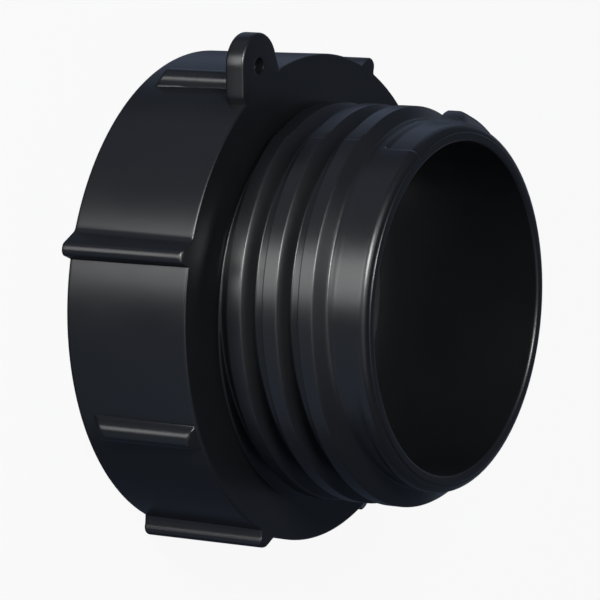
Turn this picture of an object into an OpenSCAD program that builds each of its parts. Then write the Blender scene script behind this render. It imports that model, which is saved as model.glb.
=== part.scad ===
// Tank tap adapter: a round collar with a female pipe thread and a spigot with
// a coarse male thread, moulded in one piece, and the flat ring that seals it.
// Lengths are in millimetres. The collar stands on its open rim at z = 0, and
// +z runs along the bore towards the spigot's nose.
// The mould opens along y, so its parting plane is the x-z plane, and each side
// rib has one flank that runs along y so that it slides out of the mould.

/* [Collar] */
// Thickness of the collar's wall round the socket, where the spigot leaves it
collar_wall = 6.64; // [4:0.02:10]
// How much narrower the collar is at its open rim, on the diameter
collar_draft = 0.6; // [0:0.1:1.2]
// Height of the collar
collar_h = 20.8; // [18:0.1:32]
// Thickness of the wall between the socket and the spigot
shoulder_t = 3.4; // [3:0.1:6]
// Rounding of the collar's two outer edges
collar_edge_r = 0.4; // [0.2:0.1:1]

/* [Ribs] */
// How far the long ribs stand out from the collar
long_rib_h = 2.3; // [1.5:0.1:4]
// How much lower they are on the far half of the mould
long_rib_drop = 0.4; // [0:0.1:0.6]
// Radius of the long ribs' crests
long_rib_round = 1.15; // [0.8:0.05:1.3]
// Angle of the first long rib from the parting plane
long_rib_near = 48.2; // [40:0.1:60]
// Angle of the second long rib from the parting plane
long_rib_far = 130.0; // [120:0.1:140]
// How much nearer to each other the long ribs of the far half lie
long_rib_shift = 1.5; // [0:0.1:3]
// Chamfer at the spigot end of the long ribs
long_rib_chamfer = 0.5; // [0.2:0.1:1]
// Angle of the short ribs from the parting plane
short_rib_at = 90.5; // [80:0.1:100]
// Width of the short ribs
short_rib_w = 3.6; // [2:0.1:5]
// How far the short ribs stand out from the collar
short_rib_h = 1.9; // [1:0.1:3]
// How far the short ribs stop from the open rim
short_rib_gap = 2.9; // [1:0.1:6]
// Width of the ribs that cover the parting plane
seam_rib_w = 3.8; // [2:0.1:5]
// How far those ribs stand out from the collar
seam_rib_h = 1.6; // [1:0.1:3]

/* [Seal lug] */
// Angle of the wire hole from the parting plane
lug_at = -2; // [-10:0.5:10]
// Width of the lug
lug_w = 9.6; // [7:0.1:12]
// Thickness of the lug
lug_t = 3.1; // [2:0.1:5]
// How far the hole's centre stands out from the collar
lug_reach = 2.85; // [2:0.05:6]
// Diameter of the hole for the seal wire
lug_hole_d = 2.45; // [1.5:0.05:3]
// How far the lug's middle lies from the hole's, towards the far half
lug_offset = 0.25; // [0:0.05:1]
// Slope of the lug's side on the near half, which widens it towards its foot
lug_flare = 24; // [0:1:35]
// Angle from the parting plane at which that side ends
lug_foot_at = 7; // [5:0.5:12]

/* [Socket] */
// Width of the shoulder that the sealing ring rests on
shoulder_w = 5.38; // [4:0.02:8]
// Height of the plain groove behind the female thread
relief_h = 3.4; // [3:0.1:5]
// How much deeper that groove is than the female thread's roots
relief_play = 0.3; // [0.1:0.05:0.6]
// Depth of the female thread
pipe_thread_depth = 1.48; // [1:0.02:2]

/* [Spigot] */
// Thickness of the spigot's wall between its bore and the male thread's root
spigot_wall = 2.97; // [2.2:0.01:5]
// How far the spigot stands out from the collar
spigot_h = 24.5; // [20:0.1:40]
// Length of the nose's outer rounding
nose_round = 1.4; // [0.5:0.1:2]
// Rounding of the bore's mouth
mouth_round = 0.5; // [0.2:0.1:1]
// How far the nose lies below the male thread's root, on the radius
nose_step = 0.3; // [0.1:0.05:0.6]
// Depth of the groove behind the nose
groove_depth = 0.65; // [0.3:0.05:0.9]
// Width of that groove
groove_w = 3.7; // [2:0.1:5]
// How far the groove stops from the nose's end
groove_setback = 1.95; // [1.6:0.05:4]
// Angle from the parting plane at which the groove starts on either half
groove_from = 82; // [45:1:85]

/* [Male thread] */
// Diameter across the male thread's crests
thread_d = 60; // [58:0.1:64]
// Distance from one turn to the next
thread_pitch = 6; // [5:0.05:8]
// Depth of the thread
thread_depth = 2.3; // [1.5:0.05:2.5]
// Width of the flat on the crest
thread_crest_w = 2.3; // [1:0.05:2.6]
// Slope of the flank that faces the nose
front_flank = 30; // [15:1:35]
// Slope of the flank that faces the collar
back_flank = 7; // [3:1:15]
// Chamfer along the crest's edges
crest_chamfer = 0.25; // [0.1:0.05:0.4]
// How much lower the crest is on the far half of the mould
far_half_drop = 0.4; // [0.1:0.05:0.6]
// How much the crest is cut down where the halves meet
seam_notch = 0.15; // [0.1:0.05:0.6]
// Width of that cut, as an angle
seam_notch_angle = 3.5; // [2:0.1:5]
// Distance from the thread's leading edge to the nose's end
thread_setback = 3; // [2.5:0.05:6]
// Angle from the parting plane at which the thread ends by the nose
thread_end_at = 332; // [300:1:350]
// Angle over which the thread's end sinks into the spigot
thread_fade = 14; // [8:1:30]
// How far its last part falls behind an even helix
thread_lag = 0.7; // [0:0.05:1]
// Angle over which it falls behind
thread_lag_angle = 150; // [60:10:200]
// Angle between the thread's cross-sections
thread_step = 6; // [3, 4, 5, 6, 9]

/* [Sealing ring] */
// How far the sealing ring's hole clears the bore, on the radius
ring_lip = 0.27; // [0.1:0.01:1]
// Thickness of the sealing ring
ring_t = 3; // [2:0.1:3]
// Clearance round the sealing ring, on the radius
ring_clearance = 0.3; // [0.1:0.05:0.5]

/* [Hidden] */
$fn = 180;
over = 1; // how far a cutting shape passes the face that it cuts
sunk = 2.5; // how deep the ribs are rooted in the collar
graze = 0.998; // share of a rounding's radius at which a flank leaves it
snap = 0.15; // half the angle over which the crest steps at the parting plane
bite = 0.3; // how far the male thread is rooted below the groove

// Radii and heights that several features share
top = collar_h + spigot_h;
socket_depth = collar_h - shoulder_t;
crest_r = thread_d / 2;
root_r = crest_r - thread_depth;
bore_r = root_r - spigot_wall;
relief_r = bore_r + shoulder_w;
socket_r = relief_r - relief_play - pipe_thread_depth;
lead_in = relief_r - socket_r;
collar_r = relief_r + collar_wall;
rim_r = collar_r - collar_draft / 2;
nose_r = root_r - nose_step;
groove_r = nose_r - groove_depth;
groove_top = top - groove_setback;
groove_foot = groove_top - groove_w;
thread_core_r = groove_r - bite;
long_rib_r = collar_r + long_rib_h;

// The male thread
// Angle along the helix, counted from the parting plane, of the thread's end
thread_end = thread_end_at + 360;
// The thread starts inside the collar, with its whole front flank under the face
thread_rise = spigot_h - thread_setback + thread_depth * tan(front_flank) + bite;
thread_start = thread_end - 360 * thread_rise / thread_pitch;

function within_turn(a) = a - 360 * floor(a / 360);

// How far the thread lies behind an even helix: nothing up to its last part
function lag(a) =
    let (share = max(0, 1 - (thread_end - a) / thread_lag_angle))
    thread_lag * share * share * (3 - 2 * share);

// Height of the crest's leading edge, before its chamfer
function lead_z(a) = top - thread_setback + thread_pitch * (a - thread_end) / 360 - lag(a);

// Crest radius as the mould made it: notched at the seam, lower on the far half
function mould_r(a) =
    within_turn(a) < seam_notch_angle ? crest_r - seam_notch :
    within_turn(a) < 180 ? crest_r : crest_r - far_half_drop;

// Share of the thread's height that is left, falling to nothing at its end
function fade(a) = min(1, (thread_end - a) / thread_fade);

function crest_at(a) = thread_core_r + (mould_r(a) - thread_core_r) * fade(a);

function front_z(a, r) = lead_z(a) + (crest_r - r) * tan(front_flank);

function back_z(a, r) = lead_z(a) - thread_crest_w - (crest_r - r) * tan(back_flank);

// The six corners of one cross-section, as [radius, height]
function section(a) =
    let (r = crest_at(a), foot = thread_core_r - bite, edge = max(foot, r - crest_chamfer))
    [[foot, back_z(a, foot)],
     [edge, back_z(a, edge)],
     [r, back_z(a, r) + crest_chamfer],
     [r, front_z(a, r) - crest_chamfer],
     [edge, front_z(a, edge)],
     [foot, front_z(a, foot)]];

function ring_points(a) = [for (p = section(a)) [p[0] * cos(a), p[0] * sin(a), p[1]]];

// Angles of the cross-sections in one half turn, with pairs at each step
function half_turn(h) = concat(
    h % 2 == 0 ? [snap, seam_notch_angle - snap, seam_notch_angle + snap] : [snap],
    [for (a = [thread_step : thread_step : 180 - thread_step]) a],
    [180 - snap]);

all_stops = [
    for (h = [floor(thread_start / 180) : floor(thread_end / 180)])
        for (a = half_turn(h)) a + 180 * h
];
stops = concat(
    [thread_start],
    [for (a = all_stops) if (a > thread_start + snap && a < thread_end - thread_fade - snap) a],
    [thread_end - thread_fade],
    [for (i = [1 : 4]) thread_end - thread_fade + thread_fade * i / 4]);

module male_thread() {
    sides = 6;
    last = len(stops) - 1;
    polyhedron(
        points = [for (a = stops) each ring_points(a)],
        faces = concat(
            [[for (i = [sides - 1 : -1 : 0]) i]],
            [for (k = [0 : last - 1], i = [0 : sides - 1])
                let (j = (i + 1) % sides)
                [k * sides + j, (k + 1) * sides + j, (k + 1) * sides + i, k * sides + i]],
            [[for (i = [0 : sides - 1]) last * sides + i]]));
}

// The corner that a rounding takes off a profile, at its upper right
module corner_waste(x, y, r) {
    translate([x - r, y - r])
        difference() {
            square(r + over);
            circle(r);
        }
}

module collar_profile() {
    difference() {
        polygon([[0, 0], [rim_r, 0], [collar_r, collar_h], [0, collar_h]]);
        corner_waste(collar_r, collar_h, collar_edge_r);
        mirror([0, 1])
            corner_waste(rim_r, 0, collar_edge_r);
    }
}

module spigot_profile() {
    difference() {
        polygon([
            [0, socket_depth],
            [root_r, socket_depth],
            [root_r, groove_foot - nose_step],
            [nose_r, groove_foot],
            [nose_r, top],
            [0, top]]);
        corner_waste(nose_r, top, nose_round);
    }
}

// The way through: lead-in, thread bore, relief groove, bore and rounded mouth
module cavity_profile() {
    polygon([
        [0, -over],
        [relief_r + over, -over],
        [socket_r, lead_in],
        [socket_r, socket_depth - relief_h],
        [relief_r, socket_depth - relief_h],
        [relief_r, socket_depth],
        [bore_r, socket_depth],
        [bore_r, top + over],
        [0, top + over]]);
    translate([bore_r, top - mouth_round])
        difference() {
            square([mouth_round, mouth_round + over]);
            translate([mouth_round, 0])
                circle(mouth_round);
        }
}

// Groove behind the nose. It is cut off centre, so that it is deepest opposite
// the lug and dies out towards it
module nose_groove() {
    shift = groove_depth / (1 + cos(groove_from));
    translate([0, 0, groove_foot])
        linear_extrude(groove_w)
            difference() {
                circle(root_r + over);
                translate([shift, 0])
                    circle(groove_r + shift);
            }
}

// Outline of a long rib whose crest lies at angle a and is lowered by drop; the
// flank that runs along y is the one nearer the parting plane
module long_rib_outline(a, drop) {
    r = long_rib_r - drop - long_rib_round;
    c = [r * cos(a), r * sin(a)];
    inward = [-cos(a), -sin(a)];
    across = [-sin(a), cos(a)];
    length = long_rib_h + sunk;
    reach = graze * long_rib_round;
    translate(c)
        circle(long_rib_round);
    polygon([
        [c[0] + reach, c[1]],
        c + reach * across,
        c + reach * across + length * inward,
        [c[0] + reach, c[1] - length * sin(a)]]);
}

// Round space that the ribs fill: full height, with its far end chamfered
module long_rib_space() {
    rotate_extrude()
        polygon([
            [0, 0],
            [long_rib_r + over, 0],
            [long_rib_r + over, collar_h - over - long_rib_chamfer],
            [long_rib_r - long_rib_chamfer, collar_h],
            [0, collar_h]]);
}

// Space of a rib that stops short of both ends, with sloping ends
module short_rib_space(h, foot, head) {
    rotate_extrude()
        polygon([
            [0, foot],
            [rim_r, foot],
            [collar_r + h, foot + 0.75 * h],
            [collar_r + h, head - 0.4 * h],
            [collar_r, head],
            [0, head]]);
}

// A rib with parallel flanks and a rounded crest, at angle 0
module plain_rib(w, h, foot, head) {
    crest = 0.45 * w;
    intersection() {
        linear_extrude(collar_h)
            union() {
                translate([collar_r - sunk, -w / 2])
                    square([h + sunk - crest, w]);
                translate([collar_r + h - crest, 0])
                    circle(crest);
                translate([collar_r + h - 2 * crest, -crest])
                    square([crest, 2 * crest]);
            }
        short_rib_space(h, foot, head);
    }
}

module side_ribs() {
    intersection() {
        linear_extrude(collar_h)
            for (half = [0, 1]) {
                rotate(180 * half)
                    long_rib_outline(long_rib_near + half * long_rib_shift, half * long_rib_drop);
                rotate(180 * half)
                    mirror([1, 0])
                        long_rib_outline(180 - long_rib_far + half * long_rib_shift, half * long_rib_drop);
            }
        long_rib_space();
    }
    for (turn = [0, 180])
        rotate(short_rib_at + turn)
            plain_rib(short_rib_w, short_rib_h, short_rib_gap, collar_h - 0.5);
}

module seam_ribs() {
    rotate(lug_at)
        plain_rib(seam_rib_w, seam_rib_h, short_rib_gap, collar_h - lug_t / 2);
    rotate(lug_at + 180)
        plain_rib(seam_rib_w, seam_rib_h, short_rib_gap, collar_h - 0.5);
}

// Outline of the lug, with its round end's centre at the origin and the collar
// at -x: one side is straight, and the other widens towards the foot
module lug_outline() {
    r = lug_w / 2;
    reach = graze * r;
    foot = lug_reach + sunk;
    touch = [reach * sin(lug_flare), reach * cos(lug_flare)];
    circle(r);
    polygon([
        [0, -reach],
        touch,
        [-foot, touch[1] + (foot + touch[0]) * tan(lug_flare)],
        [-foot, -reach]]);
}

// The wedge beyond the lug's foot that its widening side leaves out
module foot_limit() {
    rotate(lug_foot_at)
        translate([-2 * collar_r, 0])
            square(4 * collar_r);
}

module lug() {
    translate([0, 0, collar_h - lug_t])
        linear_extrude(lug_t)
            difference() {
                rotate(lug_at)
                    translate([collar_r + lug_reach, -lug_offset])
                        lug_outline();
                foot_limit();
            }
}

module lug_hole() {
    rotate(lug_at)
        translate([collar_r + lug_reach, 0, collar_h - lug_t - over])
            cylinder(h = lug_t + 2 * over, d = lug_hole_d);
}

module adapter_body() {
    color("#1b1c1e")
        difference() {
            union() {
                rotate_extrude()
                    collar_profile();
                difference() {
                    rotate_extrude()
                        spigot_profile();
                    nose_groove();
                }
                male_thread();
                side_ribs();
                seam_ribs();
                lug();
            }
            rotate_extrude()
                cavity_profile();
            lug_hole();
        }
}

module sealing_ring() {
    color("#2a2a2a")
        translate([0, 0, socket_depth - ring_t])
            difference() {
                cylinder(h = ring_t, r = relief_r - ring_clearance);
                translate([0, 0, -over])
                    cylinder(h = ring_t + 2 * over, r = bore_r + ring_lip);
            }
}

adapter_body();
sealing_ring();
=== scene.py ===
"""Looks of the tank tap adapter: its moulded body, its sealing ring and the studio round them.

Sizes are in millimetres in the same frame as the solids: the collar stands on its open rim at z = 0,
and +z runs along the bore towards the spigot's nose. Meshes are turned to metres as they are made.
"""

import logging
import math
from dataclasses import dataclass, field
from enum import Enum
from typing import Callable, Iterable, Sequence

import bmesh
import bpy
import numpy as np
from mathutils import Matrix, Vector


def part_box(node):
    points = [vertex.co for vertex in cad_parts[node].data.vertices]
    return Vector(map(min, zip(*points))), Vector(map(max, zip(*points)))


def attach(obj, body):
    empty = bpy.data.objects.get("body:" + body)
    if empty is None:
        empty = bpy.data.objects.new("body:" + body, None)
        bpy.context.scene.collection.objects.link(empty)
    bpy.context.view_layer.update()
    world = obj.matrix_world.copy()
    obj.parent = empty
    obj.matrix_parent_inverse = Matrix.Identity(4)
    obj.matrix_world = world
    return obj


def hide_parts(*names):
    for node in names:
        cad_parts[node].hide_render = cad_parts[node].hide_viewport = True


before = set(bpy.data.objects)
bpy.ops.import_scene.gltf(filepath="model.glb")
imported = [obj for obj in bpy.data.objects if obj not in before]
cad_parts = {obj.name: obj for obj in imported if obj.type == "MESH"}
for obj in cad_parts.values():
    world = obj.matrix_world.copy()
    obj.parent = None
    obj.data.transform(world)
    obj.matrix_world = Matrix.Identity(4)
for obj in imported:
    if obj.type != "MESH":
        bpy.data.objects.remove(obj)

LOG = logging.getLogger("tap_adapter")
MM = 0.001
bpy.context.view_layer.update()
Array = np.ndarray


class Purpose(Enum):
    """What a lamp is there for, which is also the end of its object's name."""

    KEY = "key"
    UPPER = "upper"
    SKY = "sky"
    STRIP = "strip"
    SIDE = "side"
    COOL_SIDE = "cool_side"
    FILL = "fill"
    BACK = "back"
    LOW_STRIP = "low_strip"


def smooth_max(a: Array, b: Array, blend: float) -> Array:
    """The larger of two lengths, with a fillet where they cross.

    Args:
        a: First length at each point.
        b: Second length at each point.
        blend: How near the two must be for the fillet to start.

    Returns:
        The blended length at each point.
    """
    near = np.clip(blend - np.abs(a - b), 0.0, None) / blend
    return np.maximum(a, b) + near * near * blend * 0.25


def smooth_min(a: Array, b: Array, blend: float) -> Array:
    """The smaller of two lengths, with a rounding where they cross."""
    return -smooth_max(-np.asarray(a), -np.asarray(b), blend)


def smooth_step(low: float, high: float, value: Array) -> Array:
    """A soft ramp from 0 at low to 1 at high."""
    t = np.clip((value - low) / (high - low), 0.0, 1.0)
    return t * t * (3.0 - 2.0 * t)


def arc_points(centre: tuple[float, float], radius: float, start: float, end: float, steps: int) -> list:
    """Points along an arc in the (radius, height) plane.

    Args:
        centre: Centre of the arc.
        radius: Its radius.
        start: First angle in degrees.
        end: Last angle in degrees.
        steps: Number of spans.

    Returns:
        A list of steps + 1 points, each (radius, height).
    """
    angles = [math.radians(start + (end - start) * i / steps) for i in range(steps + 1)]
    return [(centre[0] + radius * math.cos(t), centre[1] + radius * math.sin(t)) for t in angles]


def srgb(code: str) -> tuple[float, float, float, float]:
    """A linear colour from an sRGB hex code such as "#101214"."""
    parts = [int(code[i:i + 2], 16) / 255.0 for i in (1, 3, 5)]
    linear = [c / 12.92 if c <= 0.04045 else ((c + 0.055) / 1.055) ** 2.4 for c in parts]
    return (*linear, 1.0)


def add_node(tree: bpy.types.NodeTree, kind: str, settings: dict | None = None,
             **links: object) -> bpy.types.Node:
    """Adds a node with its settings and what feeds it.

    Args:
        tree: The node tree.
        kind: Blender's name of the node's type.
        settings: Properties of the node to set.
        **links: Input name, with spaces as underscores, or in_0, in_1 for a place in the list; the
            value is a socket to link or a plain value to set.

    Returns:
        The new node.
    """
    node = tree.nodes.new(kind)
    for name, value in (settings or {}).items():
        setattr(node, name, value)
    for name, value in links.items():
        socket = node.inputs[int(name[3:])] if name.startswith("in_") else node.inputs[name.replace("_", " ")]
        if isinstance(value, bpy.types.NodeSocket):
            tree.links.new(value, socket)
        else:
            socket.default_value = value
    return node


@dataclass(frozen=True)
class MouldedPolypropylene:
    """Black polypropylene from a polished steel mould: satin, with a faint ripple and cloudy gloss."""

    colour: str = "#0b0c0e"
    cloudy_colour: str = "#101113"
    roughness: float = 0.31
    roughness_spread: float = 0.05
    ripple_mm: float = 1.6
    ripple_height_mm: float = 0.006
    grain_mm: float = 0.35
    grain_height_mm: float = 0.0012

    def material(self, name: str) -> bpy.types.Material:
        """Builds the material.

        Args:
            name: Name of the material.

        Returns:
            The material, with its patterns on object coordinates.
        """
        material = bpy.data.materials.new(name)
        material.use_nodes = True
        tree = material.node_tree
        tree.nodes.clear()
        place = add_node(tree, "ShaderNodeTexCoord").outputs["Object"]
        cloud = add_node(tree, "ShaderNodeTexNoise", Vector=place, Scale=1.0 / (14.0 * MM), Detail=3.0,
                         Roughness=0.55)
        gloss = add_node(tree, "ShaderNodeMapRange", Value=cloud.outputs["Fac"], From_Min=0.3, From_Max=0.7,
                         To_Min=self.roughness - self.roughness_spread / 2,
                         To_Max=self.roughness + self.roughness_spread / 2)
        tint = add_node(tree, "ShaderNodeMix", {"data_type": "RGBA"}, in_0=cloud.outputs["Fac"])
        tint.inputs[6].default_value = srgb(self.colour)
        tint.inputs[7].default_value = srgb(self.cloudy_colour)
        ripple = add_node(tree, "ShaderNodeTexNoise", Vector=place, Scale=1.0 / (self.ripple_mm * MM),
                          Detail=1.0)
        grain = add_node(tree, "ShaderNodeTexNoise", Vector=place, Scale=1.0 / (self.grain_mm * MM),
                         Detail=2.0)
        coarse = add_node(tree, "ShaderNodeBump", Height=ripple.outputs["Fac"], Strength=1.0,
                          Distance=self.ripple_height_mm * MM)
        fine = add_node(tree, "ShaderNodeBump", Height=grain.outputs["Fac"], Strength=1.0,
                        Distance=self.grain_height_mm * MM, Normal=coarse.outputs["Normal"])
        shader = add_node(tree, "ShaderNodeBsdfPrincipled", Base_Color=tint.outputs[2], IOR=1.49,
                          Roughness=gloss.outputs["Result"], Normal=fine.outputs["Normal"])
        add_node(tree, "ShaderNodeOutputMaterial", Surface=shader.outputs["BSDF"])
        return material


@dataclass(frozen=True)
class MouldedRubber:
    """Black nitrile rubber from a press mould: dull, with a dusty surface and soft pits."""

    colour: str = "#17181a"
    dusty_colour: str = "#232427"
    roughness: float = 0.68
    pit_mm: float = 0.5
    pit_height_mm: float = 0.01

    def material(self, name: str) -> bpy.types.Material:
        """Builds the material under the given name, with its patterns on object coordinates."""
        material = bpy.data.materials.new(name)
        material.use_nodes = True
        tree = material.node_tree
        tree.nodes.clear()
        place = add_node(tree, "ShaderNodeTexCoord").outputs["Object"]
        dust = add_node(tree, "ShaderNodeTexNoise", Vector=place, Scale=1.0 / (6.0 * MM), Detail=4.0)
        tint = add_node(tree, "ShaderNodeMix", {"data_type": "RGBA"}, in_0=dust.outputs["Fac"])
        tint.inputs[6].default_value = srgb(self.colour)
        tint.inputs[7].default_value = srgb(self.dusty_colour)
        pits = add_node(tree, "ShaderNodeTexNoise", Vector=place, Scale=1.0 / (self.pit_mm * MM), Detail=2.0)
        bump = add_node(tree, "ShaderNodeBump", Height=pits.outputs["Fac"], Strength=1.0,
                        Distance=self.pit_height_mm * MM)
        shader = add_node(tree, "ShaderNodeBsdfPrincipled", Base_Color=tint.outputs[2],
                          Roughness=self.roughness, IOR=1.52, Normal=bump.outputs["Normal"])
        add_node(tree, "ShaderNodeOutputMaterial", Surface=shader.outputs["BSDF"])
        return material


@dataclass
class CoarseThread:
    """The male thread: its section, its run along the spigot and what the mould did to its crests."""

    crest_r: float = 30.0
    pitch: float = 6.0
    depth: float = 2.3
    crest_w: float = 2.3
    front_flank: float = 30.0
    back_flank: float = 7.0
    edge_round: float = 0.22
    end_round: float = 1.5
    far_half_drop: float = 0.4
    seam_notch: float = 0.22
    seam_notch_angle: float = 3.5
    setback: float = 3.0
    end_at: float = 332.0
    fade_angle: float = 14.0
    lag: float = 0.7
    lag_angle: float = 150.0
    sunk_r: float = 26.45

    def lead_height(self, top: float, angle: Array) -> Array:
        """Height of the crest's leading edge in the last whole turn, at each angle."""
        return top - self.setback + self.pitch * (angle - self.end_at) / 360.0

    def mould_radius(self, angle: Array) -> Array:
        """Crest radius at each angle: cut down at the seam, and lower on the far half."""
        snap = 0.2
        notch = 1.0 - smooth_step(self.seam_notch_angle - snap, self.seam_notch_angle + snap, angle)
        far = smooth_step(180.0 - snap, 180.0 + snap, angle)
        return self.crest_r - self.seam_notch * notch - self.far_half_drop * far

    def radius(self, top: float, angle: Array, height: Array) -> Array:
        """Radius of the thread's surface.

        Args:
            top: Height of the nose's end.
            angle: Angle from the parting plane, in degrees.
            height: Height of each point.

        Returns:
            The thread's radius at each point, at or below sunk_r where there is none.
        """
        lead = self.lead_height(top, angle)
        turn = np.ceil((height - lead) / self.pitch - 0.5)
        left = self.end_at - angle - 360.0 * turn
        behind = self.lag * smooth_step(0.0, 1.0, 1.0 - left / self.lag_angle)
        ahead = height - lead - turn * self.pitch + behind
        front = self.crest_r - ahead / math.tan(math.radians(self.front_flank))
        back = self.crest_r + (ahead + self.crest_w) / math.tan(math.radians(self.back_flank))
        crest = self.mould_radius(angle)
        worn = self.edge_round + self.end_round * smooth_step(0.0, 1.0, 1.0 - left / 45.0)
        shape = smooth_min(smooth_min(crest, front, worn), back, 2.0 * worn)
        return self.sunk_r + (shape - self.sunk_r) * smooth_step(0.0, 1.0, left / self.fade_angle)

    def row_offsets(self) -> list[float]:
        """Heights of the mesh rows in one pitch, from the leading edge: close together at the edges."""
        steep = self.depth * math.tan(math.radians(self.back_flank))
        slope = self.depth * math.tan(math.radians(self.front_flank))
        foot = -self.crest_w - steep
        back = [foot + steep * t for t in (-0.5, -0.25, 0.0, 0.2, 0.45, 0.7, 0.9, 1.1, 1.35, 1.8)]
        crest = [-self.crest_w * t for t in (0.72, 0.45, 0.2, 0.1, 0.04)]
        front = [slope * t for t in (0.0, 0.06, 0.14, 0.3, 0.55, 0.8, 0.92, 1.0, 1.1, 1.25)]
        flat_start = slope * 1.25
        flat_end = self.pitch + back[0]
        flat = [flat_start + (flat_end - flat_start) * t for t in (0.2, 0.4, 0.6, 0.8)]
        return back + crest + front + flat


@dataclass
class Spigot:
    """The tube with the coarse thread outside, its nose and the groove behind it."""

    foot: float
    top: float
    thread: CoarseThread = field(default_factory=CoarseThread)
    wall: float = 2.97
    nose_step: float = 0.3
    nose_round: float = 1.4
    lip_round: float = 0.24
    mouth_round: float = 0.5
    groove_depth: float = 0.65
    groove_w: float = 3.7
    groove_setback: float = 1.95
    groove_from: float = 82.0
    ledge_angle: float = 1.4
    foot_fillet: float = 0.3

    @property
    def root_r(self) -> float:
        """Radius at the male thread's root."""
        return self.thread.crest_r - self.thread.depth

    @property
    def nose_r(self) -> float:
        """Radius of the nose."""
        return self.root_r - self.nose_step

    @property
    def bore_r(self) -> float:
        """Radius of the bore."""
        return self.root_r - self.wall

    def groove_radius(self, angle: Array) -> Array:
        """Radius of the groove's floor: cut off centre, it dies out before it meets the seam."""
        floor = self.nose_r - self.groove_depth
        shift = self.groove_depth / (1.0 + math.cos(math.radians(self.groove_from)))
        t = np.radians(angle)
        return shift * np.cos(t) + np.sqrt((floor + shift) ** 2 - (shift * np.sin(t)) ** 2)

    def step_depth(self, angle: Array) -> Array:
        """How far the nose lies below the root: nothing on the near half beside the seam."""
        near = smooth_step(0.0, 55.0, angle)
        far = smooth_step(179.8, 180.2, angle)
        past_seam = 1.0 - smooth_step(-0.6, self.ledge_angle, angle)
        return self.nose_step * np.maximum(np.maximum(near, far), past_seam)

    def step_height(self, angle: Array) -> Array:
        """Height at which the step down to the nose starts: a little higher beside the seam."""
        foot = self.top - self.groove_setback - self.groove_w
        return foot + 0.45 * smooth_step(285.0, 335.0, angle)

    def radius(self, angle: Array, height: Array) -> Array:
        """Radius of the spigot's outside at each angle and height."""
        groove_top = self.top - self.groove_setback
        groove_foot = groove_top - self.groove_w
        step = self.step_height(angle)
        body = self.root_r - self.step_depth(angle) * smooth_step(step - 0.55, step + 0.35, height)
        inside = smooth_step(groove_foot - 0.25, groove_foot + 0.45, height)
        inside = inside * (1.0 - smooth_step(groove_top - 0.55, groove_top, height))
        dip = np.clip(self.nose_r - self.groove_radius(angle), 0.0, None)
        core = body - dip * inside
        return smooth_max(core, self.thread.radius(self.top, angle, height), 0.3)

    def spiral_rows(self, angles: Array) -> tuple[Array, int]:
        """Rows of the outside that follow the thread, cut off at the foot and below the nose.

        Args:
            angles: Angles of the mesh's columns, in degrees.

        Returns:
            Points as an array of rows, columns and (x, y, z), and the number of rows in one pitch.
        """
        low, high = self.low_end(), self.high_end()
        offsets = self.thread.row_offsets()
        start = self.thread.lead_height(self.top, np.zeros(1))[0]
        first = math.floor((low - start) / self.thread.pitch) - 1
        last = math.ceil((high - start) / self.thread.pitch)
        heights = [start + self.thread.pitch * turn + step for turn in range(first, last + 1) for step in offsets]
        grid = np.array(heights)[:, None] + self.thread.pitch * angles[None, :] / 360.0
        grid = np.clip(grid, low, high)
        radius = self.radius(np.broadcast_to(angles, grid.shape), grid)
        return to_points(angles, radius, grid), len(offsets)

    def low_end(self) -> float:
        """Height at which the rows that follow the thread start."""
        return self.foot + self.foot_fillet

    def high_end(self) -> float:
        """Height at which they stop, just above the groove."""
        return self.top - self.groove_setback + 0.02

    def nose_rows(self, angles: Array) -> list[tuple[Array, Array]]:
        """Rows from the end of the spiral over the nose to the bore, as (radius, height) of each point."""
        heights = np.linspace(self.high_end(), self.top - self.nose_round - 0.03, 5)
        levels = [np.full(angles.shape, h) for h in heights]
        rows = [(self.radius(angles, level), level) for level in levels]
        side = self.radius(angles, np.full(angles.shape, self.top - self.nose_round))
        main, lip = self.nose_round - self.lip_round, self.lip_round
        for inset, rise in arc_points((0.0, 0.0), main, 0, 84, 10):
            rows.append((side + inset - main, np.full(angles.shape, self.top - self.nose_round + rise)))
        for inset, rise in arc_points((-main - 0.08, main), lip, 0, 90, 5):
            rows.append((side + inset - lip, np.full(angles.shape, self.top - self.nose_round + rise)))
        mouth = arc_points((self.bore_r + self.mouth_round, self.top - self.mouth_round), self.mouth_round,
                           90, 180, 6)
        turned = [
            (self.nose_r - self.nose_round - 0.2, self.top),
            (self.bore_r + self.mouth_round + 0.12, self.top),
            *mouth,
            (self.bore_r, self.top - self.mouth_round - 0.2),
        ]
        return rows + [(np.full(angles.shape, r), np.full(angles.shape, z)) for r, z in turned]


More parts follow.
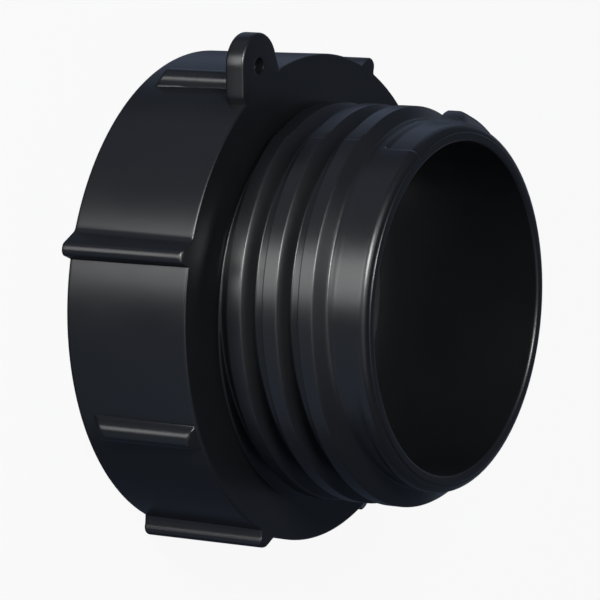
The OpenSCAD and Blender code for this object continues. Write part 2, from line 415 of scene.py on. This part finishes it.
@dataclass
class PipeThread:
    """The female pipe thread: a rounded ridge of 55 degrees that runs round inside the socket."""

    major_r: float = 29.81
    pitch: float = 2.309
    depth: float = 1.479
    half_angle: float = 27.5
    round_share: float = 0.22
    sunk: float = 0.12
    mouth: float = 0.1
    start: float = 1.3
    end: float = 12.8
    steps_per_turn: int = 120

    def section(self) -> list[tuple[float, float]]:
        """Outline of the ridge as (outwards, along the axis), from the socket's wall."""
        slope = math.tan(math.radians(self.half_angle))
        half_top = self.pitch / 2 - self.depth * slope - 0.03
        half_foot = half_top + self.depth * slope
        cut = self.depth * self.round_share
        rise = cut * slope
        outline = [
            (self.sunk, -half_foot),
            (0.0, -half_foot),
            (-self.depth + cut, -half_top - rise),
            (-self.depth + cut * 0.35, -half_top * 0.8 - rise * 0.2),
            (-self.depth, -half_top * 0.35),
            (-self.depth, half_top * 0.35),
            (-self.depth + cut * 0.35, half_top * 0.8 + rise * 0.2),
            (-self.depth + cut, half_top + rise),
            (0.0, half_foot),
            (self.sunk, half_foot),
        ]
        return outline[::-1]

    def tree(self) -> bpy.types.NodeTree:
        """The node tree: a section swept along a helix, and tapered into the wall at the end by the socket's mouth.
        """
        tree = bpy.data.node_groups.new("ridge_along_helix", "GeometryNodeTree")
        face = tree.interface
        face.new_socket("Section", in_out="INPUT", socket_type="NodeSocketGeometry")
        for name in ("Radius", "Pitch", "Mouth", "Start", "End", "Steps per turn"):
            face.new_socket(name, in_out="INPUT", socket_type="NodeSocketFloat")
        face.new_socket("Material", in_out="INPUT", socket_type="NodeSocketMaterial")
        face.new_socket("Mesh", in_out="OUTPUT", socket_type="NodeSocketGeometry")
        given = tree.nodes.new("NodeGroupInput").outputs

        def maths(operation: str, a: object, b: object = 0.0) -> bpy.types.NodeSocket:
            """The result of one sum."""
            return add_node(tree, "ShaderNodeMath", {"operation": operation}, in_0=a, in_1=b).outputs[0]

        rise = maths("SUBTRACT", given["End"], given["Start"])
        count = maths("MULTIPLY", maths("DIVIDE", rise, given["Pitch"]), given["Steps per turn"])
        line = add_node(tree, "GeometryNodeMeshLine", Count=maths("ROUND", count))
        turns = maths("DIVIDE", tree.nodes.new("GeometryNodeInputIndex").outputs[0], given["Steps per turn"])
        angle = maths("MULTIPLY", turns, math.tau)
        place = add_node(tree, "ShaderNodeCombineXYZ",
                         X=maths("MULTIPLY", maths("COSINE", angle), given["Radius"]),
                         Y=maths("MULTIPLY", maths("SINE", angle), given["Radius"]),
                         Z=maths("ADD", maths("MULTIPLY", turns, given["Pitch"]), given["Start"]))
        helix = add_node(tree, "GeometryNodeSetPosition", Geometry=line.outputs[0], Position=place.outputs[0])
        curve = add_node(tree, "GeometryNodeMeshToCurve", Mesh=helix.outputs[0])
        upright = add_node(tree, "GeometryNodeSetCurveNormal", {"mode": "Z_UP"}, Curve=curve.outputs[0])
        swept = add_node(tree, "GeometryNodeCurveToMesh", Curve=upright.outputs[0],
                         Profile_Curve=given["Section"], Fill_Caps=True)
        at = add_node(tree, "ShaderNodeSeparateXYZ",
                      Vector=tree.nodes.new("GeometryNodeInputPosition").outputs[0])
        span = maths("SQRT", maths("ADD", maths("POWER", at.outputs[0], 2.0), maths("POWER", at.outputs[1], 2.0)))
        past_mouth = maths("SUBTRACT", at.outputs[2], given["Mouth"])
        least = maths("SUBTRACT", given["Radius"], maths("MAXIMUM", past_mouth, 0.0))
        grow = maths("DIVIDE", maths("MAXIMUM", span, least), span)
        moved = add_node(tree, "ShaderNodeCombineXYZ", X=maths("MULTIPLY", at.outputs[0], grow),
                         Y=maths("MULTIPLY", at.outputs[1], grow), Z=at.outputs[2])
        tapered = add_node(tree, "GeometryNodeSetPosition", Geometry=swept.outputs[0],
                           Position=moved.outputs[0])
        real = add_node(tree, "GeometryNodeRealizeInstances", Geometry=tapered.outputs[0])
        dressed = add_node(tree, "GeometryNodeSetMaterial", Geometry=real.outputs[0],
                           Material=given["Material"])
        out = tree.nodes.new("NodeGroupOutput")
        tree.links.new(dressed.outputs[0], out.inputs[0])
        return tree

    def build(self, material: bpy.types.Material) -> bpy.types.Object:
        """Makes the ridge as a plain closed mesh.

        Args:
            material: The finish of the moulding.

        Returns:
            The ridge's object.
        """
        data = bpy.data.curves.new("pipe_thread_section", "CURVE")
        data.dimensions = "2D"
        spline = data.splines.new("POLY")
        section = self.section()
        spline.points.add(len(section) - 1)
        for point, (out, along) in zip(spline.points, section):
            point.co = (out * MM, along * MM, 0.0, 1.0)
        spline.use_cyclic_u = True
        holder = bpy.data.objects.new("pipe_thread_section", data)
        bpy.context.scene.collection.objects.link(holder)
        modifier = holder.modifiers.new("ridge", "NODES")
        modifier.node_group = self.tree()
        values = {
            "Radius": self.major_r * MM,
            "Pitch": self.pitch * MM,
            "Mouth": self.mouth * MM,
            "Start": self.start * MM,
            "End": self.end * MM,
            "Steps per turn": float(self.steps_per_turn),
            "Material": material,
        }
        for item in modifier.node_group.interface.items_tree:
            if item.in_out == "INPUT" and item.name in values:
                modifier[item.identifier] = values[item.name]
        return made_plain(holder, "pipe_thread")


@dataclass
class LongRib:
    """Outline of the ribs that run from rim to face: one flank lies along the mould's opening."""

    collar_r: float
    height: float = 2.3
    crest_round: float = 1.15
    near_at: float = 48.2
    far_at: float = 130.0
    far_half_drop: float = 0.4
    far_half_shift: float = 1.5
    chamfer: float = 0.5
    near_slope: float = 7.5
    far_slope: float = 2.6

    @property
    def crest_r(self) -> float:
        """Radius of the ribs' crests."""
        return self.collar_r + self.height

    def placings(self) -> list[tuple[float, float, float]]:
        """The four ribs, each as its angle, the side that its steep flank faces and its crest's drop."""
        shift, drop = self.far_half_shift, self.far_half_drop
        return [
            (self.near_at, 1.0, 0.0),
            (self.far_at, -1.0, 0.0),
            (180.0 + self.near_at + shift, 1.0, drop),
            (180.0 + self.far_at - shift, -1.0, drop),
        ]

    def slope(self, side: float) -> float:
        """How steeply the flank falls that faces the given side."""
        return self.near_slope if side > 0.0 else self.far_slope

    def outline(self, angle: Array) -> Array:
        """Radius of the ribs' outline at each angle, 0 where there is none."""
        shape = 0.0 * angle
        for at, side, drop in self.placings():
            centre_r = self.crest_r - drop - self.crest_round
            lean = at % 180.0 if side > 0.0 else 180.0 - at % 180.0
            off = side * np.radians(angle - at)
            reach = self.crest_round / centre_r
            inside = np.clip(self.crest_round ** 2 - (centre_r * np.sin(off)) ** 2, 0.0, None)
            crest = centre_r * np.cos(off) + np.sqrt(inside)
            flank_x = centre_r * math.cos(math.radians(lean)) + self.crest_round
            touch = math.atan2(centre_r * math.sin(math.radians(lean)), flank_x) - math.radians(lean)
            gentle = flank_x / np.cos(np.clip(off + math.radians(lean), 0.1, 1.4))
            steep = centre_r - (off - 0.97 * reach) * centre_r * self.slope(side)
            rib = np.where(off < touch, gentle, np.where(off < 0.97 * reach, crest, steep))
            shape = np.maximum(shape, np.where(np.abs(np.degrees(off)) < 12.0, rib, 0.0))
        return shape

    def columns(self) -> list[float]:
        """Angles of the mesh columns that the outlines need."""
        found = []
        for at, side, drop in self.placings():
            centre_r = self.crest_r - drop - self.crest_round
            lean = math.radians(at % 180.0 if side > 0.0 else 180.0 - at % 180.0)
            cx, cy = centre_r * math.cos(lean), centre_r * math.sin(lean)
            tip = math.degrees(self.crest_round / centre_r) * 0.97
            touch = math.degrees(math.atan2(cy, cx + self.crest_round) - lean)
            local = [touch + (tip - touch) * t for t in (0, 0.12, 0.25, 0.4, 0.55, 0.7, 0.8, 0.88, 0.94, 0.98, 1)]
            flank = math.degrees(self.height / self.slope(side) / centre_r)
            local += [tip + flank * t for t in (0.12, 0.3, 0.5, 0.7, 0.85, 1.0, 1.15, 1.5)]
            local += [touch - d for d in (0.5, 1.4, 2.3, 2.7, 3.0, 3.3, 3.7, 4.2)]
            found += [at + side * d for d in local]
        return found


@dataclass
class PlainRib:
    """A short rib with a rounded crest and sloping ends, on one side of the collar."""

    at: float
    collar_r: float
    width: float
    height: float
    foot: float
    head: float
    flare: float = 0.0

    def offset(self, angle: Array) -> Array:
        """Angle from the rib's centre line, between -180 and 180."""
        return np.mod(angle - self.at + 180.0, 360.0) - 180.0

    def radius(self, angle: Array, height: Array) -> Array:
        """Radius of the rib's surface at each angle and height, 0 where there is none."""
        off = np.radians(self.offset(angle))
        crest_round = 0.47 * self.width
        centre_r = self.collar_r + self.height - crest_round
        side = centre_r * np.sin(off)
        top = centre_r * np.cos(off) + np.sqrt(np.clip(crest_round ** 2 - side ** 2, 0.0, None))
        spare = np.abs(side) - crest_round * 0.93
        top = np.where(spare > 0.0, centre_r + crest_round * 0.37 - spare * 3.2, top)
        rise = (height - self.foot) / (0.75 * self.height)
        fall = (self.head - height) / (0.4 * self.height)
        ends = self.collar_r - 0.3 + (self.height + 0.3) * np.minimum(rise, fall)
        shape = smooth_min(top, ends, 0.6)
        return np.where(np.abs(self.offset(angle)) < 12.0, shape, 0.0)

    def columns(self) -> list[float]:
        """Angles of the mesh columns that the rib needs."""
        reach = math.degrees(self.width / 2 / self.collar_r)
        shares = (0.0, 0.25, 0.45, 0.62, 0.76, 0.86, 0.94, 1.0, 1.06, 1.13, 1.2, 1.3, 1.45)
        return [(self.at + sign * reach * s) % 360.0 for s in shares for sign in (-1.0, 1.0)]


@dataclass
class Collar:
    """The ribbed ring round the socket, with its rim, its face and the socket inside."""

    height: float
    wall: float = 6.64
    draft: float = 0.3
    edge_round: float = 0.35
    shoulder_t: float = 3.4
    shoulder_w: float = 5.38
    relief_h: float = 3.4
    relief_play: float = 0.3
    lug_at: float = -2.0
    lug_t: float = 3.1
    bore_r: float = 24.73

    @property
    def relief_r(self) -> float:
        """Radius of the groove that holds the sealing ring."""
        return self.bore_r + self.shoulder_w

    @property
    def outer_r(self) -> float:
        """Radius of the collar beside the spigot."""
        return self.relief_r + self.wall

    @property
    def seat(self) -> float:
        """Height of the shoulder that the sealing ring rests on."""
        return self.height - self.shoulder_t

    def __post_init__(self) -> None:
        """Makes the ribs from the collar's own sizes."""
        self.long_rib = LongRib(self.outer_r)
        self.ribs = [
            PlainRib(90.5, self.outer_r, 3.7, 1.9, 2.9, self.height - 0.35),
            PlainRib(270.5, self.outer_r, 3.7, 1.9, 2.9, self.height - 0.35),
            PlainRib(self.lug_at, self.outer_r, 3.8, 1.6, 2.9, self.height + 4.0),
            PlainRib(self.lug_at + 180.0, self.outer_r, 3.8, 1.6, 2.9, self.height - 0.35),
        ]

    def columns(self) -> list[float]:
        """Angles of the mesh columns that the ribs need."""
        return self.long_rib.columns() + [a for rib in self.ribs for a in rib.columns()]

    def radius(self, angle: Array, height: Array) -> Array:
        """Radius of the collar's outside, ribs included, before its edges are rounded."""
        plain = self.outer_r - self.draft * (1.0 - height / self.height) + 0.0 * angle
        top = self.long_rib.crest_r - self.long_rib.chamfer * smooth_step(
            self.height - 1.3 * self.long_rib.chamfer, self.height + 0.2, height) + 0.0 * angle
        shape = smooth_max(plain, smooth_min(self.long_rib.outline(angle), top, 0.25), 0.5)
        for rib in self.ribs:
            shape = smooth_max(shape, rib.radius(angle, height), 0.35)
        return shape

    def side_heights(self) -> list[float]:
        """Heights of the mesh rows up the collar's outside."""
        arc = [self.edge_round * (1.0 - math.cos(math.radians(15.0 * i))) for i in range(7)]
        low = [0.7, 1.6, 2.4, 2.7, 2.9, 3.1, 3.3, 3.5, 3.7, 3.9, 4.1, 4.3, 4.6, 5.2]
        middle = [7.0, 9.5, 12.0, 14.5, 16.5, 17.7, 18.4]
        high = [self.height - d for d in (2.0, 1.6, 1.35, 1.15, 1.0, 0.85, 0.7, 0.6, 0.5)]
        return arc + low + middle + high + [self.height - h for h in reversed(arc)]

    def edge_inset(self, height: float) -> float:
        """How far the roundings draw the side in at a height."""
        depth = self.edge_round - min(height, self.height - height)
        if depth <= 0.0:
            return 0.0
        return self.edge_round - math.sqrt(max(self.edge_round ** 2 - depth ** 2, 0.0))

    def socket_section(self, thread: PipeThread) -> list:
        """Section from the bore's foot over the shoulder and down the socket to the rim."""
        soft = 0.2
        step = self.seat - self.relief_h
        return [
            (self.bore_r, self.seat + 3.0),
            (self.bore_r, self.seat + soft),
            (self.bore_r + 0.06, self.seat + 0.06),
            (self.bore_r + soft, self.seat),
            (self.relief_r - soft, self.seat),
            (self.relief_r - 0.05, self.seat - 0.05),
            (self.relief_r, self.seat - soft),
            (self.relief_r, step + 0.15),
            (self.relief_r, step + 0.02),
            (self.relief_r - 0.1, step),
            (thread.major_r, step - 0.15),
            (thread.major_r, 7.0),
            (thread.major_r, 0.5),
            (thread.major_r + 0.5, 0.05),
            (thread.major_r + 0.6, 0.0),
            (thread.major_r + 0.85, 0.0),
        ]


def to_points(angles: Array, radius: Array, height: Array) -> Array:
    """Turns angles, radii and heights into points in metres."""
    t = np.radians(angles)
    return np.stack([radius * np.cos(t), radius * np.sin(t), np.broadcast_to(height, radius.shape)], -1) * MM


def made_plain(piece: bpy.types.Object, name: str) -> bpy.types.Object:
    """Turns an object with modifiers into a plain mesh object.

    Args:
        piece: The object, which is removed.
        name: Name of the new object.

    Returns:
        The new object, linked to the scene.
    """
    bpy.context.view_layer.update()
    graph = bpy.context.evaluated_depsgraph_get()
    mesh = bpy.data.meshes.new_from_object(piece.evaluated_get(graph), depsgraph=graph)
    plain = bpy.data.objects.new(name, mesh)
    mesh.name = name
    bpy.context.scene.collection.objects.link(plain)
    bpy.data.objects.remove(piece)
    return plain


def mesh_from_grids(name: str, grids: Sequence[tuple[Array, int]]) -> bpy.types.Object:
    """Joins grids of points that go all the way round into one closed mesh.

    Args:
        name: Name of the object.
        grids: Each an array of rows and columns of points, and how many rows higher a row goes on
            after one turn: 0 for a plain ring, the rows of one pitch for a spiral.

    Returns:
        The object, linked to the scene.
    """
    points, faces, base = [], [], 0
    for grid, climb in grids:
        rows, columns = grid.shape[:2]
        row, column = np.meshgrid(np.arange(rows - 1), np.arange(columns), indexing="ij")
        wraps = column == columns - 1
        onward = np.where(wraps, 0, column + 1)
        low = np.minimum(np.where(wraps, row + climb, row), rows - 1)
        high = np.minimum(np.where(wraps, row + 1 + climb, row + 1), rows - 1)
        quad = np.stack([row * columns + column, low * columns + onward,
                         high * columns + onward, (row + 1) * columns + column], -1).reshape(-1, 4)
        points.append(grid.reshape(-1, 3))
        faces.append(quad + base)
        base += rows * columns
    mesh = bpy.data.meshes.new(name)
    mesh.from_pydata(np.concatenate(points).tolist(), [], np.concatenate(faces).tolist())
    work = bmesh.new()
    work.from_mesh(mesh)
    bmesh.ops.remove_doubles(work, verts=work.verts, dist=2e-7)
    bmesh.ops.dissolve_degenerate(work, edges=work.edges, dist=1e-7)
    bmesh.ops.recalc_face_normals(work, faces=work.faces)
    work.to_mesh(mesh)
    work.free()
    piece = bpy.data.objects.new(name, mesh)
    bpy.context.scene.collection.objects.link(piece)
    return piece


def smooth_shaded(piece: bpy.types.Object, angle: float = 32.0) -> None:
    """Shades a mesh smooth, with a crisp edge where its faces turn by more than an angle."""
    mesh = piece.data
    mesh.polygons.foreach_set("use_smooth", [True] * len(mesh.polygons))
    mesh.set_sharp_from_angle(angle=math.radians(angle))
    mesh.update()


def joined(body: bpy.types.Object, parts: Iterable[bpy.types.Object]) -> bpy.types.Object:
    """Melts closed parts into a closed body.

    Args:
        body: The body, which is replaced.
        parts: The parts, which are removed.

    Returns:
        The new body, a plain mesh under the old name.
    """
    parts = list(parts)
    name = body.name
    body.name = name + "_before"
    for part in parts:
        union = body.modifiers.new(part.name, "BOOLEAN")
        union.operation = "UNION"
        union.solver = "MANIFOLD"
        union.object = part
    whole = made_plain(body, name)
    for part in parts:
        bpy.data.objects.remove(part)
    return whole


@dataclass
class Lug:
    """The flat ear beside the face, with a hole for a seal wire: one side straight, one flared."""

    collar: Collar
    width: float = 9.6
    thickness: float = 3.1
    reach: float = 2.845
    hole_d: float = 2.45
    offset: float = 0.25
    flare: float = 24.0
    foot_at: float = 7.0
    edge_round: float = 0.45
    columns: int = 180

    def outline(self, inset: float) -> Array:
        """Outline round the hole's centre, drawn in by an inset, as (x, y) in the lug's own frame."""
        r = self.width / 2 - inset
        flare = math.radians(self.flare)
        touch = (r * math.sin(flare), r * math.cos(flare))
        chord = math.hypot(touch[0], touch[1] + r)
        sides = [
            (0.0, -1.0, r),
            (math.sin(flare), math.cos(flare), r),
            (-1.0, 0.0, self.reach + 3.0),
            ((touch[1] + r) / chord, -touch[0] / chord, r * touch[0] / chord),
        ]
        turn = math.radians(self.foot_at - self.collar.lug_at)
        foot = (-math.sin(turn), math.cos(turn), (self.collar.outer_r + self.reach) * math.sin(turn) - inset)
        points = []
        for step in range(self.columns):
            t = math.tau * step / self.columns
            x, y = math.cos(t), math.sin(t)
            round_end = -self.offset * y + math.sqrt(r ** 2 - (self.offset * x) ** 2)
            web = min((d - ny * self.offset) / (nx * x + ny * y) for nx, ny, d in sides if nx * x + ny * y > 1e-9)
            span = max(round_end, web)
            lean = foot[0] * x + foot[1] * y
            if lean > 1e-9:
                span = min(span, foot[2] / lean)
            points.append((span * x, span * y))
        return np.array(points)

    def build(self) -> bpy.types.Object:
        """Makes the lug as a closed ring of rows round its hole."""
        rows = []
        hole = self.hole_d / 2
        circle = np.array([(hole * math.cos(math.tau * s / self.columns),
                            hole * math.sin(math.tau * s / self.columns)) for s in range(self.columns)])
        low, high = self.collar.height - self.thickness, self.collar.height
        sink = 0.15
        side = [(0.0, low + self.edge_round), (0.0, (low + high) / 2), (0.0, high - self.edge_round)]
        bottom = [(self.edge_round - self.edge_round * math.sin(math.radians(t)),
                   low + self.edge_round - self.edge_round * math.cos(math.radians(t))) for t in (0, 18, 36, 54, 72)]
        top = [(inset, high + low - z) for inset, z in reversed(bottom)]
        outside = bottom + side + top
        for inset, z in outside:
            rows.append(np.column_stack([self.outline(inset), np.full(self.columns, z)]))
        for share, z in ((1.35, high), (1.13, high), (1.03, high - 0.04), (1.0, high - sink), (1.0, low + sink),
                         (1.03, low + 0.04), (1.13, low), (1.35, low)):
            rows.append(np.column_stack([circle * share, np.full(self.columns, z)]))
        rows.append(rows[0])
        points = np.array(rows)
        points[..., 0] += self.collar.outer_r + self.reach
        turn = math.radians(self.collar.lug_at)
        x = points[..., 0] * math.cos(turn) - points[..., 1] * math.sin(turn)
        y = points[..., 0] * math.sin(turn) + points[..., 1] * math.cos(turn)
        grid = np.stack([x, y, points[..., 2]], -1) * MM
        return mesh_from_grids("lug", [(grid, 0)])


class AdapterBody:
    """The one moulding: collar, socket, spigot, both threads and the lug."""

    def __init__(self, finish: MouldedPolypropylene) -> None:
        """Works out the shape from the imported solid's height."""
        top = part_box("adapter_body")[1].z / MM
        self.spigot = Spigot(foot=top - 24.5, top=top)
        self.collar = Collar(height=self.spigot.foot, bore_r=self.spigot.bore_r)
        self.pipe_thread = PipeThread()
        self.lug = Lug(self.collar)
        self.finish = finish

    def columns(self) -> Array:
        """Angles of the mesh's columns: even ones, and close ones at the ribs and the mould's seams."""
        notch = self.spigot.thread.seam_notch_angle
        seams = [a + d for a in (0.0, notch, 180.0) for d in (-0.5, -0.3, -0.1, 0.1, 0.3, 0.55, 0.8, 1.1)]
        special = sorted(a % 360.0 for a in self.collar.columns() + seams)
        kept = [special[0]]
        for a in special[1:]:
            if a - kept[-1] > 0.04:
                kept.append(a)
        even = [2.0 * i for i in range(180)]
        spare = [a for a in even if min(abs((a - b + 180.0) % 360.0 - 180.0) for b in kept) > 0.5]
        return np.array(sorted(kept + spare))

    def ring_rows(self, angles: Array) -> Array:
        """Every row that isn't part of the spiral, from the nose through the bore to the collar's face."""
        turned = [(self.spigot.bore_r, h) for h in (40.0, 32.0, 24.0)]
        turned += self.collar.socket_section(self.pipe_thread)
        rows = self.spigot.nose_rows(angles)
        rows += [(np.full(angles.shape, r), np.full(angles.shape, z)) for r, z in turned]
        collar = self.collar
        rim = collar.radius(angles, np.zeros(angles.shape))
        inner = turned[-1][0]
        for share in (0.5, 0.9):
            flat = inner + (collar.outer_r - collar.draft - collar.edge_round - inner) * share
            rows.append((np.full(angles.shape, flat), np.zeros(angles.shape)))
        rows.append((rim - collar.edge_round - 0.12, np.zeros(angles.shape)))
        for z in collar.side_heights():
            side = collar.radius(angles, np.full(angles.shape, z)) - collar.edge_inset(z)
            rows.append((side, np.full(angles.shape, z)))
        face = np.full(angles.shape, collar.height)
        rim = collar.radius(angles, face)
        rows.append((rim - collar.edge_round - 0.12, face))
        spigot = self.spigot
        foot = spigot.radius(angles, np.full(angles.shape, spigot.low_end()))
        fillet = spigot.foot_fillet
        rows.append((np.full(angles.shape, collar.outer_r - 0.9), face))
        rows.append((np.full(angles.shape, collar.outer_r - 3.0), face))
        rows.append((foot + fillet + 0.15, face))
        for t in (0.0, 30.0, 60.0, 90.0):
            out = fillet * (1.0 - math.sin(math.radians(t)))
            up = fillet * (1.0 - math.cos(math.radians(t)))
            rows.append((foot + out, face + up))
        return np.stack([to_points(angles, r, z) for r, z in rows])

    def build(self) -> bpy.types.Object:
        """Makes the moulding, dresses it and puts it in the solid's place.

        Returns:
            The moulding's object.
        """
        angles = self.columns()
        spiral, pitch_rows = self.spigot.spiral_rows(angles)
        material = self.finish.material("black_polypropylene")
        body = mesh_from_grids("adapter_moulding", [(spiral, pitch_rows), (self.ring_rows(angles), 0)])
        body.data.materials.append(material)
        report(body, "before its parts are joined")
        ridge = self.pipe_thread.build(material)
        lug = self.lug.build()
        lug.data.materials.append(material)
        report(ridge, "female thread")
        report(lug, "lug")
        body = joined(body, [ridge, lug])
        smooth_shaded(body)
        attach(body, "root")
        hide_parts("adapter_body")
        report(body, "moulding")
        return body


class SealingRing:
    """The flat rubber ring at the bottom of the socket: the solid's own shape with a rubber finish."""

    def __init__(self, finish: MouldedRubber) -> None:
        """Keeps the ring's finish."""
        self.finish = finish

    def dress(self) -> bpy.types.Object:
        """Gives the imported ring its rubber."""
        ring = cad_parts["sealing_ring"]
        material = self.finish.material("black_rubber")
        ring.data.materials.clear()
        ring.data.materials.append(material)
        report(ring, "sealing ring")
        return ring


def report(piece: bpy.types.Object, what: str) -> None:
    """Logs a piece with its size and whether its mesh is closed."""
    work = bmesh.new()
    work.from_mesh(piece.data)
    open_edges = sum(1 for e in work.edges if not e.is_manifold)
    triangles = sum(len(f.verts) - 2 for f in work.faces)
    volume = work.calc_volume() / MM ** 3
    work.free()
    LOG.info("%s (%s): %d triangles, %d open edges, %.0f mm3", piece.name, what, triangles, open_edges, volume)


@dataclass
class SoftBox:
    """One studio lamp, placed round the object as seen from the camera's side.

    Its bearing is counted in degrees from the camera's own, towards the mould's near half, and its
    light is the brightness of its surface, where 1 is a white wall's.
    """

    purpose: Purpose
    bearing: float
    elevation: float
    distance: float
    size: tuple[float, float]
    light: float
    colour: str = "#ffffff"

    def place(self, camera_bearing: float) -> Matrix:
        """Where the lamp stands, facing the object."""
        a, e = math.radians(camera_bearing + self.bearing), math.radians(self.elevation)
        spot = Vector((math.cos(a) * math.cos(e), math.sin(a) * math.cos(e), math.sin(e))) * self.distance
        shine = (Vector((0.0, 0.0, 20.0 * MM)) - spot).normalized()
        across = Vector((-math.sin(a), math.cos(a), 0.0))
        along = (-shine).cross(across)
        return Matrix((
            (across.x, along.x, -shine.x, spot.x),
            (across.y, along.y, -shine.y, spot.y),
            (across.z, along.z, -shine.z, spot.z),
            (0.0, 0.0, 0.0, 1.0),
        ))

    def build(self, camera_bearing: float) -> bpy.types.Object:
        """Makes the lamp, hidden from the camera.

        Args:
            camera_bearing: Direction of the camera round the z axis, in degrees.

        Returns:
            The lamp's object.
        """
        data = bpy.data.lights.new("lamp_" + self.purpose.value, "AREA")
        data.shape = "RECTANGLE"
        data.size, data.size_y = self.size
        data.energy = self.light * math.pi * data.size * data.size_y
        data.color = srgb(self.colour)[:3]
        lamp = bpy.data.objects.new(data.name, data)
        lamp.matrix_world = self.place(camera_bearing)
        lamp.visible_camera = False
        bpy.context.scene.collection.objects.link(lamp)
        return lamp


@dataclass
class Studio:
    """The pale floor, the lamps, the surroundings and the camera of the photograph."""

    floor_colour: str = "#d8dadc"
    white: float = 0.955
    floor_lift: float = 0.97
    surround: str = "#c3d7ff"
    surround_strength: float = 0.1
    azimuth: float = 144.43
    elevation: float = 31.01
    roll: float = 94.63
    distance_mm: float = 612.0
    aim_mm: tuple[float, float, float] = (0.26, 1.37, 18.54)
    focal_px: float = 4058.4
    picture_px: float = 600.0
    sensor_mm: float = 36.0

    def sheet(self, name: str, reach: float, sides: int, height: float,
              material: bpy.types.Material) -> bpy.types.Object:
        """Makes a level sheet of the floor round the z axis.

        Args:
            name: Name of the object.
            reach: Distance of its corners from the axis, in metres.
            sides: Number of its sides.
            height: Its height in metres.
            material: Its material.

        Returns:
            The sheet, linked to the scene.
        """
        turn = math.tau / sides
        corners = [(reach * math.cos(turn * i), reach * math.sin(turn * i), height) for i in range(sides)]
        mesh = bpy.data.meshes.new(name)
        mesh.from_pydata(corners, [], [tuple(range(sides))])
        mesh.materials.append(material)
        sheet = bpy.data.objects.new(name, mesh)
        bpy.context.scene.collection.objects.link(sheet)
        return sheet

    def floor(self) -> None:
        """Makes the floor: a wide sheet that only the camera sees, and the patch that closes the socket."""
        material = bpy.data.materials.new("pale_floor")
        material.use_nodes = True
        tree = material.node_tree
        tree.nodes.clear()
        seen = add_node(tree, "ShaderNodeLightPath").outputs["Is Camera Ray"]
        matt = add_node(tree, "ShaderNodeBsdfDiffuse", Color=srgb(self.floor_colour))
        glow = add_node(tree, "ShaderNodeEmission", Color=(self.white, self.white, self.white, 1.0))
        share = add_node(tree, "ShaderNodeMath", {"operation": "MULTIPLY"}, in_0=seen, in_1=self.floor_lift)
        mix = add_node(tree, "ShaderNodeMixShader", in_0=share.outputs[0], in_1=matt.outputs[0],
                       in_2=glow.outputs[0])
        add_node(tree, "ShaderNodeOutputMaterial", Surface=mix.outputs[0])
        wide = self.sheet("floor", 4.2, 4, 0.0, material)
        wide.visible_glossy = False
        wide.visible_diffuse = False
        wide.visible_shadow = False
        self.sheet("floor_patch", 36.0 * MM, 64, -0.05 * MM, material)

    def surroundings(self) -> None:
        """Sets the world: white behind the object, dim and even for its light."""
        world = bpy.data.worlds.new("studio")
        bpy.context.scene.world = world
        world.use_nodes = True
        tree = world.node_tree
        tree.nodes.clear()
        seen = add_node(tree, "ShaderNodeLightPath").outputs["Is Camera Ray"]
        dim = add_node(tree, "ShaderNodeBackground", Color=srgb(self.surround), Strength=self.surround_strength)
        white = add_node(tree, "ShaderNodeBackground", Color=(self.white, self.white, self.white, 1.0))
        mix = add_node(tree, "ShaderNodeMixShader", in_0=seen, in_1=dim.outputs[0], in_2=white.outputs[0])
        add_node(tree, "ShaderNodeOutputWorld", Surface=mix.outputs[0])

    def lamps(self) -> list[bpy.types.Object]:
        """Makes the lamps: a tall strip in front of the object goes on below the floor's level."""
        boxes = [
            SoftBox(Purpose.KEY, -25.0, 44.0, 0.6, (0.15, 0.22), 36.0),
            SoftBox(Purpose.UPPER, -48.0, 67.0, 0.6, (0.24, 0.26), 3.0),
            SoftBox(Purpose.SKY, 20.0, 55.0, 0.6, (0.50, 0.50), 0.45),
            SoftBox(Purpose.STRIP, -12.0, 8.0, 0.6, (0.25, 0.34), 3.6),
            SoftBox(Purpose.LOW_STRIP, -12.5, -18.0, 0.6, (0.26, 0.34), 5.6),
            SoftBox(Purpose.SIDE, -64.0, -15.0, 0.6, (0.46, 0.50), 0.25, "#e6eeff"),
            SoftBox(Purpose.COOL_SIDE, -128.0, -12.0, 0.6, (0.40, 0.56), 0.25, "#c8dcff"),
            SoftBox(Purpose.FILL, 48.0, -8.0, 0.6, (0.60, 0.60), 0.34, "#d2e2ff"),
            SoftBox(Purpose.BACK, 185.0, 6.0, 0.6, (0.60, 0.20), 0.25, "#dde8ff"),
        ]
        return [box.build(self.azimuth - 90.0) for box in boxes]

    def camera(self) -> bpy.types.Object:
        """Makes the camera at the photograph's place, turned as the photograph is."""
        data = bpy.data.cameras.new("camera")
        data.sensor_width = self.sensor_mm
        data.lens = self.focal_px / self.picture_px * self.sensor_mm
        data.clip_start, data.clip_end = 0.01, 20.0
        camera = bpy.data.objects.new("camera", data)
        a, e = math.radians(self.azimuth), math.radians(self.elevation)
        back = Vector((math.sin(a) * math.cos(e), -math.cos(a) * math.cos(e), math.sin(e)))
        level = Vector((0.0, 0.0, 1.0)).cross(back).normalized()
        upright = back.cross(level)
        r = math.radians(self.roll)
        right = level * math.cos(r) + upright * math.sin(r)
        up = back.cross(right)
        place = Vector(self.aim_mm) * MM + back * self.distance_mm * MM
        camera.matrix_world = Matrix((
            (right.x, up.x, back.x, place.x),
            (right.y, up.y, back.y, place.y),
            (right.z, up.z, back.z, place.z),
            (0.0, 0.0, 0.0, 1.0),
        ))
        bpy.context.scene.collection.objects.link(camera)
        bpy.context.scene.camera = camera
        return camera

    def build(self) -> None:
        """Makes everything that isn't the object."""
        bpy.context.scene.view_settings.view_transform = "Standard"
        self.camera()
        self.floor()
        self.surroundings()
        self.lamps()


def main() -> None:
    """Builds the studio and the pieces in order."""
    logging.basicConfig(level=logging.INFO, format="%(name)s: %(message)s")
    Studio().build()
    AdapterBody(MouldedPolypropylene()).build()
    SealingRing(MouldedRubber()).dress()
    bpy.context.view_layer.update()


if __name__ == "__main__":
    main()
